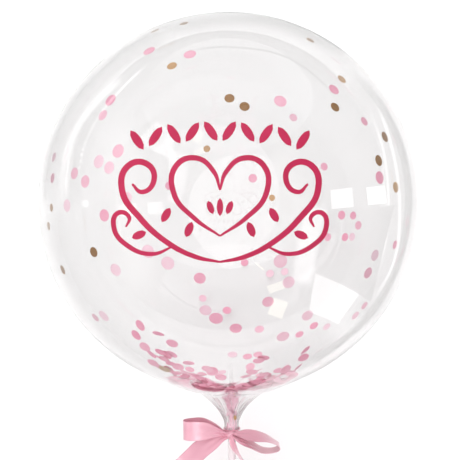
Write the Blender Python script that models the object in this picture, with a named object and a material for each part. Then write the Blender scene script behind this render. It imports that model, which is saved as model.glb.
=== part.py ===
"""A clear bubble balloon with a gathered neck, on a clear stick, tied with a satin ribbon bow.

Every piece is modelled upright about the stick's axis, with the balloon's centre at the origin and
the front towards -Y. One empty then lays them down together: the balloon rests on a small flat
spot on its back and the stick on its lower end, so the front faces up. The middle of that flat
spot is the origin. Units are metres, and +Z is up.
"""

import math

import bmesh
import bpy
from mathutils import Matrix, Vector

# Gaps
FIT_GAP = 0.0003
FLOOR_GAP = 0.0003

# Stick
STICK_RADIUS = 0.005
STICK_WALL = 0.001
STICK_LENGTH = 0.48
STICK_GRIP = 0.024

# Balloon: the round part, which hangs a little below a true sphere round its mouth
BALLOON_RADIUS = 0.25
REST_FLAT_DEPTH = 0.001
MOUTH_RADIUS = 0.05
MOUTH_SAG = 0.004
SAG_REACH = 0.06

# Balloon: the funnel below the mouth, gathered in pleats round the stick
FUNNEL_HEIGHT = 0.0505
FUNNEL_CURVE = 1.8
FUNNEL_PLEAT_DEPTH = 0.0016
NECK_PLEAT_DEPTH = 0.0006
PLEATS = 12
GATHER_THICKNESS = 0.0019
NECK_SWELL = 0.0029
NECK_HEIGHT = 0.0045
NECK_SHOULDER = 0.0012
NECK_HEM_FLARE = 0.0006
NECK_HEM_HEIGHT = 0.0025

# Ribbon
RIBBON_WIDTH = 0.025
RIBBON_THICKNESS = 0.0006
GATHERED_WIDTH = 0.0065
GATHERED_THICKNESS = 0.0015
BAND_HEIGHT = 0.0075
BAND_THICKNESS = 0.0015
KNOT_WIDTH = 0.0125
KNOT_DEPTH = 0.0085
KNOT_HEIGHT = 0.0085
KNOT_SINK = 0.0014
KNOT_TILT = math.radians(24)
KNOT_SIDE = -0.0022
KNOT_RISE = 0.0005
LOOP_REACH = 0.0625
LOOP_DEPTH = 0.019
RIGHT_LOOP_SHARE = 1.07
TAIL_CUT_SLANT = 0.009
TAIL_TWIST_SHARE = 0.4

# Facets
ROUND_STEPS = 72
STICK_STEPS = 32
CAP_STEPS = 30
FUNNEL_STEPS = 8
ROUTE_STEPS = 4

# The stick is gripped by the film and the film by the ribbon, each round the one before
BORE_RADIUS = STICK_RADIUS + FIT_GAP
TIE_RADIUS = BORE_RADIUS + GATHER_THICKNESS
NECK_RADIUS = TIE_RADIUS + NECK_SWELL
BAND_INNER_RADIUS = TIE_RADIUS + FIT_GAP
BAND_OUTER_RADIUS = BAND_INNER_RADIUS + BAND_THICKNESS

# Heights along the stick's axis, from the balloon's centre
MOUTH_Z = -math.sqrt(BALLOON_RADIUS**2 - MOUTH_RADIUS**2) - MOUTH_SAG
NECK_TOP_Z = MOUTH_Z - FUNNEL_HEIGHT
GROOVE_TOP_Z = NECK_TOP_Z - NECK_HEIGHT - NECK_SHOULDER
TIE_Z = GROOVE_TOP_Z - BAND_HEIGHT / 2
GROOVE_BOTTOM_Z = TIE_Z - BAND_HEIGHT / 2
STICK_TOP_Z = TIE_Z + STICK_GRIP
STICK_END_Z = STICK_TOP_Z - STICK_LENGTH

# The pose: on the flat spot and the stick's lower rim
CENTRE_HEIGHT = BALLOON_RADIUS - REST_FLAT_DEPTH
SLOPE = math.asin(CENTRE_HEIGHT / math.hypot(STICK_END_Z, STICK_RADIUS)) - math.atan2(
    STICK_RADIUS, -STICK_END_Z
)
LYING = Matrix.Translation((0, 0, CENTRE_HEIGHT)) @ Matrix.Rotation(SLOPE - math.pi / 2, 4, "X")

KNOT_CENTRE = Vector(
    (KNOT_SIDE, KNOT_SINK - BAND_OUTER_RADIUS - KNOT_DEPTH / 2, TIE_Z + KNOT_RISE)
)


def smooth_step(share):
    """0 up to 1 with level ends, for a share from 0 to 1."""
    share = min(max(share, 0.0), 1.0)
    return share * share * (3 - 2 * share)


def plain_material(name, colour, roughness, transmission=0.0):
    """A Principled material of one colour."""
    material = bpy.data.materials.new(name)
    material.use_nodes = True
    shader = material.node_tree.nodes["Principled BSDF"]
    shader.inputs["Base Color"].default_value = (*colour, 1.0)
    shader.inputs["Roughness"].default_value = roughness
    shader.inputs["Metallic"].default_value = 0.0
    shader.inputs["Transmission Weight"].default_value = transmission
    return material


def add_object(name, bm, material=None):
    """Make one object from a bmesh, with its faces pointing out."""
    bmesh.ops.recalc_face_normals(bm, faces=bm.faces[:])
    mesh = bpy.data.meshes.new(name)
    bm.to_mesh(mesh)
    bm.free()
    mesh.shade_smooth()
    mesh.set_sharp_from_angle(angle=math.radians(40))
    if material:
        mesh.materials.append(material)
    piece = bpy.data.objects.new(name, mesh)
    bpy.context.collection.objects.link(piece)
    return piece


def turned(profile, steps, closed):
    """Spin a profile of (radius, height) points about Z; a closed one makes a ring."""
    bm = bmesh.new()
    points = [bm.verts.new((radius, 0, height)) for radius, height in profile]
    following = points[1:] + points[:1] if closed else points[1:]
    edges = [bm.edges.new(pair) for pair in zip(points, following)]
    bmesh.ops.spin(
        bm,
        geom=points + edges,
        cent=(0, 0, 0),
        axis=(0, 0, 1),
        angle=2 * math.pi,
        steps=steps,
        use_merge=True,
    )
    bmesh.ops.remove_doubles(bm, verts=bm.verts[:], dist=1e-6)
    return bm


def round_profile():
    """The balloon's outline from its top down to the mouth of the funnel."""
    last = math.pi - math.asin(MOUTH_RADIUS / BALLOON_RADIUS)
    for step in range(CAP_STEPS + 1):
        angle = last * step / CAP_STEPS
        radius = BALLOON_RADIUS * math.sin(angle)
        height = BALLOON_RADIUS * math.cos(angle)
        if height < 0:
            height -= MOUTH_SAG * smooth_step(1 + (MOUTH_RADIUS - radius) / SAG_REACH)
        yield radius, height


def funnel_profile():
    """The funnel's outline below its mouth, down to the straight neck."""
    for step in range(1, FUNNEL_STEPS + 1):
        share = step / FUNNEL_STEPS
        flare = (MOUTH_RADIUS - NECK_RADIUS) * (1 - share) ** FUNNEL_CURVE
        yield NECK_RADIUS + flare, MOUTH_Z - share * FUNNEL_HEIGHT


def neck_profile():
    """The neck's outline: the groove that the ribbon lies in, the hem, and up the blind bore."""
    yield NECK_RADIUS, GROOVE_TOP_Z + NECK_SHOULDER
    yield TIE_RADIUS, GROOVE_TOP_Z
    yield TIE_RADIUS, GROOVE_BOTTOM_Z
    yield TIE_RADIUS + NECK_HEM_FLARE, GROOVE_BOTTOM_Z - NECK_HEM_HEIGHT
    yield BORE_RADIUS, GROOVE_BOTTOM_Z - NECK_HEM_HEIGHT
    yield BORE_RADIUS, STICK_TOP_Z + FIT_GAP
    yield 0.0, STICK_TOP_Z + FIT_GAP


def pleat_depth(height):
    """How deep the pleats cut in at a height: none at the mouth, most down the funnel."""
    share = (MOUTH_Z - height) / FUNNEL_HEIGHT
    if share <= 0:
        return 0.0
    swell = math.sin(math.pi * min(share, 1.0)) * (FUNNEL_PLEAT_DEPTH - NECK_PLEAT_DEPTH / 2)
    return NECK_PLEAT_DEPTH * smooth_step(share) + swell


def gather(bm):
    """Press the pleats into the outside of the funnel and neck."""
    for vert in bm.verts:
        radius = math.hypot(vert.co.x, vert.co.y)
        if radius < BORE_RADIUS * 1.01:
            continue
        angle = math.atan2(vert.co.y, vert.co.x)
        cut = pleat_depth(vert.co.z) * (1 - math.cos(PLEATS * angle)) / 2
        vert.co.xy *= (radius - cut) / radius


def press_flat(bm):
    """Cut the flat spot on the side that lies on the floor, and close it with one face."""
    floor_way = LYING.to_3x3().inverted() @ Vector((0, 0, -1))
    geometry = bm.verts[:] + bm.edges[:] + bm.faces[:]
    cut = bmesh.ops.bisect_plane(
        bm,
        geom=geometry,
        plane_co=floor_way * CENTRE_HEIGHT,
        plane_no=floor_way,
        clear_outer=True,
    )
    rim = [item for item in cut["geom_cut"] if isinstance(item, bmesh.types.BMEdge)]
    bmesh.ops.contextual_create(bm, geom=rim)


def make_balloon(material):
    """The film bubble with its funnel and neck, filled, with a blind bore for the stick."""
    profile = [*round_profile(), *funnel_profile(), *neck_profile()]
    bm = turned(profile, ROUND_STEPS, closed=False)
    gather(bm)
    press_flat(bm)
    return add_object("balloon", bm, material)


def make_stick(material):
    """The clear tube, open at both ends."""
    inner = STICK_RADIUS - STICK_WALL
    profile = [
        (STICK_RADIUS, STICK_TOP_Z),
        (STICK_RADIUS, STICK_END_Z),
        (inner, STICK_END_Z),
        (inner, STICK_TOP_Z),
    ]
    return add_object("stick", turned(profile, STICK_STEPS, closed=True), material)


def smooth_route(points, steps):
    """Points read from a Catmull-Rom curve through the route's own, each a tuple of numbers."""
    ends = [points[0], *points, points[-1]]
    for first, start, end, last in zip(ends, ends[1:], ends[2:], ends[3:]):
        for step in range(steps):
            share = step / steps
            yield tuple(catmull(*values, share) for values in zip(first, start, end, last))
    yield points[-1]


def catmull(before, start, end, after, share):
    """One number on a Catmull-Rom curve between start and end."""
    slope = (end - before) / 2
    bend = before - 2.5 * start + 2 * end - after / 2
    twist = (after - before) / 2 + 1.5 * (start - end)
    return start + share * (slope + share * (bend + share * twist))


def above_floor(centre):
    """The same point, lifted to lie on the floor where the curve dips below it."""
    place = LYING @ centre
    place.z = max(place.z, RIBBON_THICKNESS / 2 + FLOOR_GAP)
    return LYING.inverted() @ place


def add_strip(name, route, cut_slant=0.0):
    """One stretch of ribbon as a closed strip.

    Each point of the route is its centre, the way its width runs, its width and its thickness.
    The slant of its cut end comes in over the last stretch between two route points.
    """
    stations = list(smooth_route(route, ROUTE_STEPS))
    centres = [above_floor(Vector(station[:3])) for station in stations]
    bm = bmesh.new()
    rings = []
    for index, station in enumerate(stations):
        ahead = centres[min(index + 1, len(centres) - 1)]
        behind = centres[max(index - 1, 0)]
        along = (ahead - behind).normalized()
        across = Vector(station[3:6])
        across = (across - along * across.dot(along)).normalized()
        up = along.cross(across)
        half_width = station[6] / 2
        half_thickness = station[7] / 2
        near_end = max(0.0, 1 - (len(stations) - 1 - index) / ROUTE_STEPS)
        slant = along * (near_end * cut_slant / 2)
        corners = [(1, 1), (1, -1), (-1, -1), (-1, 1)]
        rings.append(
            [
                bm.verts.new(
                    centres[index]
                    + across * (half_width * side)
                    + up * (half_thickness * face)
                    + slant * side
                )
                for side, face in corners
            ]
        )
    for ring, following in zip(rings, rings[1:]):
        for corner in range(4):
            turn = (corner + 1) % 4
            bm.faces.new((ring[corner], ring[turn], following[turn], following[corner]))
    bm.faces.new(rings[0])
    bm.faces.new(rings[-1])
    return add_object(name, bm)


def spread(share):
    """The ribbon's width, from gathered in the knot, at 0, to its full width, at 1."""
    return GATHERED_WIDTH + (RIBBON_WIDTH - GATHERED_WIDTH) * share


def from_knot(x, y, z, across, width=RIBBON_WIDTH):
    """A route point given from the knot's centre, in the upright frame."""
    share = (width - GATHERED_WIDTH) / (RIBBON_WIDTH - GATHERED_WIDTH)
    thickness = GATHERED_THICKNESS + (RIBBON_THICKNESS - GATHERED_THICKNESS) * share
    return (*(KNOT_CENTRE + Vector((x, y, z))), *across, width, thickness)


def left_loop_route():
    """The left loop stands on edge: out in front, round its end and back behind."""
    upright = (0, 0, 1)
    reach = -LOOP_REACH
    depth = LOOP_DEPTH
    rise = RIBBON_WIDTH
    root = from_knot(-KNOT_WIDTH / 6, -GATHERED_THICKNESS, 0, upright, spread(0))
    end = from_knot(-KNOT_WIDTH / 6, GATHERED_THICKNESS, 0, upright, spread(0))
    return [
        root,
        from_knot(0.13 * reach, -0.2 * depth, 0.04 * rise, upright, spread(0.06)),
        from_knot(0.31 * reach, -0.43 * depth, 0.18 * rise, upright, spread(0.42)),
        from_knot(0.5 * reach, -0.6 * depth, 0.29 * rise, upright, spread(0.88)),
        from_knot(0.72 * reach, -0.67 * depth, 0.32 * rise, upright),
        from_knot(0.9 * reach, -0.6 * depth, 0.32 * rise, upright),
        from_knot(0.99 * reach, -0.3 * depth, 0.32 * rise, upright),
        from_knot(0.97 * reach, 0.04 * depth, 0.33 * rise, upright),
        from_knot(0.83 * reach, 0.27 * depth, 0.34 * rise, upright),
        from_knot(0.6 * reach, 0.33 * depth, 0.34 * rise, upright),
        from_knot(0.36 * reach, 0.22 * depth, 0.24 * rise, upright, spread(0.55)),
        from_knot(0.17 * reach, 0.11 * depth, 0.08 * rise, upright, spread(0.12)),
        end,
    ]


def right_loop_route():
    """The right loop lies flatter: out along the top, round its tip and back underneath."""
    tilted = (0, -0.9, -0.44)
    level = (0, -1, 0)
    reach = LOOP_REACH * RIGHT_LOOP_SHARE
    depth = LOOP_DEPTH
    rise = RIBBON_WIDTH
    root = from_knot(KNOT_WIDTH / 6, 0, 0.8 * GATHERED_THICKNESS, tilted, spread(0))
    end = from_knot(KNOT_WIDTH / 6, 0, -1.5 * GATHERED_THICKNESS, level, spread(0))
    return [
        root,
        from_knot(0.13 * reach, -0.05 * depth, 0.04 * rise, tilted, spread(0.2)),
        from_knot(0.3 * reach, -0.1 * depth, -0.04 * rise, tilted, spread(0.75)),
        from_knot(0.52 * reach, -0.16 * depth, -0.14 * rise, tilted),
        from_knot(0.72 * reach, -0.16 * depth, -0.26 * rise, tilted),
        from_knot(0.89 * reach, -0.16 * depth, -0.43 * rise, tilted),
        from_knot(0.99 * reach, -0.16 * depth, -0.59 * rise, level),
        from_knot(0.95 * reach, -0.16 * depth, -0.7 * rise, level),
        from_knot(0.82 * reach, -0.16 * depth, -0.77 * rise, level),
        from_knot(0.62 * reach, -0.16 * depth, -0.78 * rise, level),
        from_knot(0.4 * reach, -0.1 * depth, -0.68 * rise, level, spread(0.8)),
        from_knot(0.18 * reach, -0.05 * depth, -0.38 * rise, level, spread(0.25)),
        end,
    ]


def falling_route(shoulder, heading, shares):
    """The rest of a tail, from where it leaves the bow's plane down to the floor and along it.

    Each share is the way gone along the heading and the height left, of the whole fall. The
    ribbon turns flat on the way to the last share that is still high up.
    """
    start = LYING @ Vector(shoulder[:3])
    floor = RIBBON_THICKNESS / 2 + FLOOR_GAP
    fall = start.z - floor
    ahead = Vector((heading[0], heading[1], 0)).normalized()
    flat = Vector((heading[1], -heading[0], 0)).normalized()
    to_upright = LYING.inverted()
    flat = to_upright.to_3x3() @ flat
    first = Vector(shoulder[3:6]).normalized()
    flat *= math.copysign(1, flat.dot(first))
    for gone, left in shares:
        point = start + ahead * (gone * fall)
        point.z = floor + left * fall
        across = first.slerp(flat, smooth_step(gone / TAIL_TWIST_SHARE))
        yield (*(to_upright @ point), *across, RIBBON_WIDTH, RIBBON_THICKNESS)


def left_tail_route():
    """The left tail leaves flat, down to the left, and falls over to the floor."""
    slanted = (-0.62, 0, 0.78)
    reach = -LOOP_REACH
    depth = LOOP_DEPTH
    rise = RIBBON_WIDTH
    bow = [
        from_knot(-KNOT_WIDTH / 12, 0, -0.08 * rise, slanted, spread(0)),
        from_knot(0.16 * reach, -0.08 * depth, -0.19 * rise, slanted, spread(0.25)),
        from_knot(0.36 * reach, -0.16 * depth, -0.38 * rise, slanted, spread(0.75)),
        from_knot(0.62 * reach, -0.21 * depth, -0.66 * rise, slanted),
        from_knot(0.82 * reach, -0.21 * depth, -1.05 * rise, slanted),
        from_knot(1.02 * reach, -0.16 * depth, -1.49 * rise, slanted),
    ]
    shares = [
        (0.13, 0.93),
        (0.25, 0.8),
        (0.33, 0.62),
        (0.37, 0.42),
        (0.42, 0.21),
        (0.52, 0.055),
        (0.68, 0.0),
        (0.86, 0.0),
    ]
    return bow + list(falling_route(bow[-1], (-0.74, -0.67), shares))


def right_tail_route():
    """The right tail leaves on edge in front of the stick, turns flat and falls to the floor."""
    turned_a_little = (0.46, -0.89, 0)
    on_edge = (0.34, -0.94, 0)
    reach = LOOP_REACH
    rise = RIBBON_WIDTH
    in_front = max(TIE_RADIUS + NECK_HEM_FLARE, STICK_RADIUS) + 3 * FIT_GAP + KNOT_CENTRE.y
    narrow = spread(0.25)
    wider = spread(0.7)
    full = spread(1)
    bow = [
        from_knot(KNOT_WIDTH / 15, 0, -0.09 * rise, turned_a_little, spread(0)),
        from_knot(0.035 * reach, -narrow / 2 - in_front, -0.38 * rise, turned_a_little, narrow),
        from_knot(0.088 * reach, -wider / 2 - in_front, -0.66 * rise, turned_a_little, wider),
        from_knot(0.163 * reach, -full / 2 - in_front, -0.98 * rise, on_edge),
        from_knot(0.248 * reach, -full / 2 - in_front, -1.3 * rise, on_edge),
        from_knot(0.328 * reach, -full / 2 - in_front, -1.64 * rise, on_edge),
    ]
    shares = [
        (0.14, 0.985),
        (0.27, 0.93),
        (0.38, 0.81),
        (0.45, 0.62),
        (0.48, 0.4),
        (0.52, 0.19),
        (0.61, 0.05),
        (0.76, 0.0),
        (0.93, 0.0),
    ]
    return bow + list(falling_route(bow[-1], (0.5, -0.86), shares))


def make_knot():
    """The knot in front of the neck, a small tilted pad that all the ribbon's ends run into."""
    bm = bmesh.new()
    size = Matrix.Diagonal((KNOT_WIDTH / 2, KNOT_DEPTH / 2, KNOT_HEIGHT / 2, 1))
    place = Matrix.Translation(KNOT_CENTRE) @ Matrix.Rotation(-KNOT_TILT, 4, "Y") @ size
    bmesh.ops.create_icosphere(bm, subdivisions=2, radius=1, matrix=place)
    return add_object("knot", bm)


def make_band():
    """The ribbon's turn round the neck, in the groove."""
    top = GROOVE_TOP_Z - FIT_GAP
    bottom = GROOVE_BOTTOM_Z + FIT_GAP
    profile = [
        (BAND_OUTER_RADIUS, top),
        (BAND_OUTER_RADIUS, bottom),
        (BAND_INNER_RADIUS, bottom),
        (BAND_INNER_RADIUS, top),
    ]
    return turned(profile, STICK_STEPS, closed=True)


def join_into(base, pieces):
    """Unite the pieces with the base, which alone is left showing."""
    for piece in pieces:
        union = base.modifiers.new(piece.name, "BOOLEAN")
        union.operation = "UNION"
        union.solver = "EXACT"
        union.object = piece
        piece.hide_render = True
        piece.display_type = "WIRE"


def make_ribbon_bow(material):
    """The whole ribbon: its band, knot, two loops and two tails, as one body."""
    bow = add_object("ribbon_bow", make_band(), material)
    stretches = [
        make_knot(),
        add_strip("left_loop", left_loop_route()),
        add_strip("right_loop", right_loop_route()),
        add_strip("left_tail", left_tail_route(), TAIL_CUT_SLANT),
        add_strip("right_tail", right_tail_route(), -TAIL_CUT_SLANT),
    ]
    join_into(bow, stretches)
    return [bow, *stretches]


def clear_scene():
    """Remove whatever the scene holds."""
    for old in list(bpy.data.objects):
        bpy.data.objects.remove(old, do_unlink=True)


def main():
    """Build the pieces upright, then lay them down."""
    clear_scene()
    film = plain_material("clear_film", (0.93, 0.93, 0.94), 0.05, transmission=1.0)
    tube = plain_material("clear_tube", (0.9, 0.88, 0.9), 0.1, transmission=1.0)
    satin = plain_material("pink_satin", (0.73, 0.29, 0.38), 0.35)

    lying_pose = bpy.data.objects.new("lying_pose", None)
    bpy.context.collection.objects.link(lying_pose)
    lying_pose.matrix_world = LYING
    for piece in [make_balloon(film), make_stick(tube), *make_ribbon_bow(satin)]:
        piece.parent = lying_pose


main()
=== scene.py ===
"""The looks of a clear bubble balloon with confetti sealed in it, on a clear tube, tied with a bow.

Every piece is modelled upright about the tube's axis, with the bubble's centre at the origin and
its front towards -Y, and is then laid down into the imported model's frame. Units are metres.
"""

import logging
import math
import random
from collections.abc import Callable, Iterator, Sequence
from contextlib import contextmanager
from dataclasses import dataclass
from enum import Enum

import bmesh
import bpy
from mathutils import Matrix, Vector


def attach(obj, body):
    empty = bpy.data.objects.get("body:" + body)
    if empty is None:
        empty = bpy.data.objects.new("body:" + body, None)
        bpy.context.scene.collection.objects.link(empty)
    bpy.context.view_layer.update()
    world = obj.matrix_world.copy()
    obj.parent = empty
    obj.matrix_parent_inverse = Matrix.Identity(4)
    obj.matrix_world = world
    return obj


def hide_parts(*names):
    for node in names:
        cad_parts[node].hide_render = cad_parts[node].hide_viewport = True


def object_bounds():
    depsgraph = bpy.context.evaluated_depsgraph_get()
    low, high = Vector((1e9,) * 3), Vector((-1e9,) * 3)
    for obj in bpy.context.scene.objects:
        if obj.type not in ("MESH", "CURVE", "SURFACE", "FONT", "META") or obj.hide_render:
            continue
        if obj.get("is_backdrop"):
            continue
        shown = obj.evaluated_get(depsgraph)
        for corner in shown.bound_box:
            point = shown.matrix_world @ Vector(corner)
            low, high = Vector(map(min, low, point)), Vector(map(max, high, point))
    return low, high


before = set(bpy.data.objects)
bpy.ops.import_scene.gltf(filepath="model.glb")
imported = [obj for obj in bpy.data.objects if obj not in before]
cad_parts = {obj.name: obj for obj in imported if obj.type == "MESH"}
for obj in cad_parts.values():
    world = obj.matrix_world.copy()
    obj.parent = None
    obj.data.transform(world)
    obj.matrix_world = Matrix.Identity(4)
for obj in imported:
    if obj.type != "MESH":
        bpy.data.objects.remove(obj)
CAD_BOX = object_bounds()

LOG = logging.getLogger("party_balloon")
BODY = "root"
WELD = 1e-6
SMOOTH_ANGLE = math.radians(50)
UPRIGHT = (0, 0, 1)
Colour = tuple[float, float, float]
Pixel = tuple[float, float]
Pair = tuple[float, float]


@dataclass(frozen=True)
class Plan:
    """The sizes that the pieces share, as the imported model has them."""

    balloon_radius: float = 0.25
    rest_flat_depth: float = 0.001
    mouth_radius: float = 0.05
    mouth_sag: float = 0.004
    sag_reach: float = 0.06
    funnel_height: float = 0.0505
    funnel_curve: float = 1.8
    neck_height: float = 0.0045
    neck_shoulder: float = 0.0012
    hem_height: float = 0.0025
    band_height: float = 0.0075
    stick_radius: float = 0.005
    stick_wall: float = 0.001
    stick_length: float = 0.48
    stick_grip: float = 0.024
    fit_gap: float = 0.0003
    gather: float = 0.0019
    neck_swell: float = 0.0029

    @property
    def tie_radius(self) -> float:
        """Outside of the gathered film where the ribbon holds it."""
        return self.stick_radius + self.fit_gap + self.gather

    @property
    def neck_radius(self) -> float:
        """Outside of the gathered film above the ribbon."""
        return self.tie_radius + self.neck_swell

    @property
    def cut_z(self) -> float:
        """Height where the round part is cut open at its mouth."""
        return -math.sqrt(self.balloon_radius**2 - self.mouth_radius**2)

    @property
    def mouth_z(self) -> float:
        """Height of the fold between the round part and the funnel."""
        return self.cut_z - self.mouth_sag

    @property
    def neck_top_z(self) -> float:
        """Height where the funnel has narrowed to the neck."""
        return self.mouth_z - self.funnel_height

    @property
    def tie_z(self) -> float:
        """Height of the middle of the ribbon's band."""
        return self.neck_top_z - self.neck_height - self.neck_shoulder - self.band_height / 2

    @property
    def hem_z(self) -> float:
        """Height of the film's cut end below the band."""
        return self.tie_z - self.band_height / 2 - self.hem_height

    @property
    def stick_top_z(self) -> float:
        """Height of the tube's hidden end."""
        return self.tie_z + self.stick_grip

    @property
    def stick_end_z(self) -> float:
        """Height of the tube's free end."""
        return self.stick_top_z - self.stick_length

    @property
    def centre_height(self) -> float:
        """How high the bubble's centre lies above the floor."""
        return self.balloon_radius - self.rest_flat_depth

    @property
    def lying(self) -> Matrix:
        """The move that lays the upright balloon down on its back and its tube's rim."""
        reach = math.hypot(self.stick_end_z, self.stick_radius)
        slope = math.asin(self.centre_height / reach)
        slope -= math.atan2(self.stick_radius, -self.stick_end_z)
        turn = Matrix.Rotation(slope - math.pi / 2, 4, "X")
        return Matrix.Translation((0, 0, self.centre_height)) @ turn


PLAN = Plan()


@dataclass(frozen=True)
class PhotoView:
    """The photograph's camera, in the upright frame, and the way from its pixels to the object."""

    size_px: float = 460.0
    focal_px: float = 738.0
    eye: tuple[float, float, float] = (0.0019, -1.0, -0.035)
    roll: float = math.radians(0.8)
    sensor: float = 36.0
    bubble: Pixel = (228.5, 202.5)

    @property
    def turn(self) -> Matrix:
        """The camera's roll about the line of sight, as a turn of the upright frame."""
        return Matrix.Rotation(self.roll, 4, "Y")

    def ray(self, pixel: Pixel) -> tuple[Vector, Vector]:
        """The line of sight through one pixel.

        Args:
            pixel: Its place, right and down from the picture's top left corner.

        Returns:
            Where the line starts and its direction, in the upright frame.
        """
        middle = self.size_px / 2
        across = (pixel[0] - middle) / self.focal_px
        down = (pixel[1] - middle) / self.focal_px
        way = self.turn.to_3x3() @ Vector((across, 1, -down))
        return self.turn @ Vector(self.eye), way.normalized()

    def on_sphere(self, pixel: Pixel, radius: float, far: bool = False) -> Vector:
        """Where a line of sight meets a sphere about the bubble's centre.

        Args:
            pixel: The place in the picture.
            radius: The sphere's radius.
            far: Whether the back of the sphere is meant, and not its front.

        Returns:
            The meeting point, or the nearest point of the outline where the line misses.
        """
        start, way = self.ray(pixel)
        half = start.dot(way)
        inside = half * half - start.length_squared + radius * radius
        root = math.sqrt(max(inside, 0.0))
        return (start + way * (-half + (root if far else -root))).normalized() * radius

    def mirrored(self, pixel: Pixel, distance: float) -> Vector:
        """The place that the front of the film mirrors into the camera at one pixel.

        Args:
            pixel: Where in the picture the mirrored thing is to show.
            distance: How far it stands from the film, less where that would be under the floor.

        Returns:
            The place, in the upright frame.
        """
        spot = self.on_sphere(pixel, PLAN.balloon_radius)
        way = (spot - self.turn @ Vector(self.eye)).normalized()
        outward = spot.normalized()
        bounced = way - outward * (2 * way.dot(outward))
        drop = -(PLAN.lying.to_3x3() @ bounced).z
        if drop > 0:
            distance = min(distance, 0.92 * (PLAN.lying @ spot).z / drop)
        return spot + bounced * distance

    def make_camera(self) -> None:
        """The scene's camera, with no shift and no depth of field."""
        data = bpy.data.cameras.new("photo_camera")
        data.sensor_width = self.sensor
        data.lens = self.sensor * self.focal_px / self.size_px
        camera = bpy.data.objects.new("photo_camera", data)
        place = Matrix.Translation(self.eye) @ Matrix.Rotation(math.radians(90), 4, "X")
        camera.matrix_world = PLAN.lying @ self.turn @ place
        bpy.context.scene.collection.objects.link(camera)
        bpy.context.scene.camera = camera


VIEW = PhotoView()


def smooth_step(share: float) -> float:
    """0 up to 1 with level ends, for a share from 0 to 1."""
    share = min(max(share, 0.0), 1.0)
    return share * share * (3 - 2 * share)


def blend(start: float, end: float, share: float) -> float:
    """The value that lies a share of the way from start to end."""
    return start + (end - start) * share


def select_only(*pieces: bpy.types.Object) -> None:
    """Select these objects alone, the first as the active one."""
    bpy.ops.object.select_all(action="DESELECT")
    for piece in pieces:
        piece.select_set(True)
    bpy.context.view_layer.objects.active = pieces[0]


def new_piece(kind: str, **settings: object) -> bpy.types.Object:
    """Add one of Blender's own shapes: its kind and settings are those of the operator."""
    bpy.ops.object.select_all(action="DESELECT")
    getattr(bpy.ops.mesh, f"primitive_{kind}_add")(**settings)
    return bpy.context.object


def new_grid(columns: int, rows: int, map_name: str) -> bpy.types.Object:
    """A flat grid, one unit wide and long, with its map named."""
    piece = new_piece("grid", x_subdivisions=columns, y_subdivisions=rows, size=1)
    piece.data.uv_layers[0].name = map_name
    return piece


@contextmanager
def editing(piece: bpy.types.Object) -> Iterator[None]:
    """Hold one object in edit mode, with nothing in it selected at first."""
    select_only(piece)
    bpy.ops.object.mode_set(mode="EDIT")
    bpy.ops.mesh.select_all(action="DESELECT")
    yield
    bpy.ops.object.mode_set(mode="OBJECT")


def pick(piece: bpy.types.Object, wanted: Callable[[Vector], bool]) -> None:
    """Select the vertices in edit mode whose place passes a test, with what lies between them."""
    mesh = bmesh.from_edit_mesh(piece.data)
    for vert in mesh.verts:
        vert.select = wanted(vert.co)
    mesh.select_flush_mode()
    mesh.select_flush(True)
    bmesh.update_edit_mesh(piece.data)


def reshape(piece: bpy.types.Object, place: Callable[[Vector], Vector]) -> None:
    """Move each vertex to where a formula puts it."""
    for vert in piece.data.vertices:
        vert.co = place(vert.co.copy())
    piece.data.update()


def finish_with(piece: bpy.types.Object, kind: str, **settings: object) -> None:
    """Add a modifier with these settings and apply it."""
    select_only(piece)
    modifier = piece.modifiers.new(kind.lower(), kind)
    for name, value in settings.items():
        setattr(modifier, name, value)
    bpy.ops.object.modifier_apply(modifier=modifier.name)


def on_all(piece: bpy.types.Object, action: Callable[..., object], **settings: object) -> None:
    """Run one of Blender's mesh operators on the whole of a piece."""
    with editing(piece):
        bpy.ops.mesh.select_all(action="SELECT")
        action(**settings)


def face_outwards(piece: bpy.types.Object) -> None:
    """Merge doubles and turn every face to point out of its shell, open shells too."""
    on_all(piece, bpy.ops.mesh.remove_doubles, threshold=WELD)
    on_all(piece, bpy.ops.mesh.normals_make_consistent, inside=False)
    top = max(piece.data.polygons, key=lambda face: face.center.z)
    if top.normal.z < 0:
        on_all(piece, bpy.ops.mesh.flip_normals)


def joined(pieces: Sequence[bpy.types.Object]) -> bpy.types.Object:
    """Join objects into the first of them."""
    select_only(*pieces)
    bpy.ops.object.join()
    return bpy.context.view_layer.objects.active


def lay_down(
    piece: bpy.types.Object, name: str, slot: str, material: bpy.types.Material, *nodes: str
) -> None:
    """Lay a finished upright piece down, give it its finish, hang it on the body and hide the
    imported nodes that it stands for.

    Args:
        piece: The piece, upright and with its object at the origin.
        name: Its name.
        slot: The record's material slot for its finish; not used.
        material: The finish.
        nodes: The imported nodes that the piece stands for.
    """
    piece.name = piece.data.name = name
    piece.data.transform(PLAN.lying)
    piece.data.materials.clear()
    piece.data.materials.append(material)
    select_only(piece)
    bpy.ops.object.shade_smooth_by_angle(angle=SMOOTH_ANGLE)
    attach(piece, BODY)
    if nodes:
        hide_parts(*nodes)
    LOG.info("%s: %d faces", name, len(piece.data.polygons))


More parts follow.
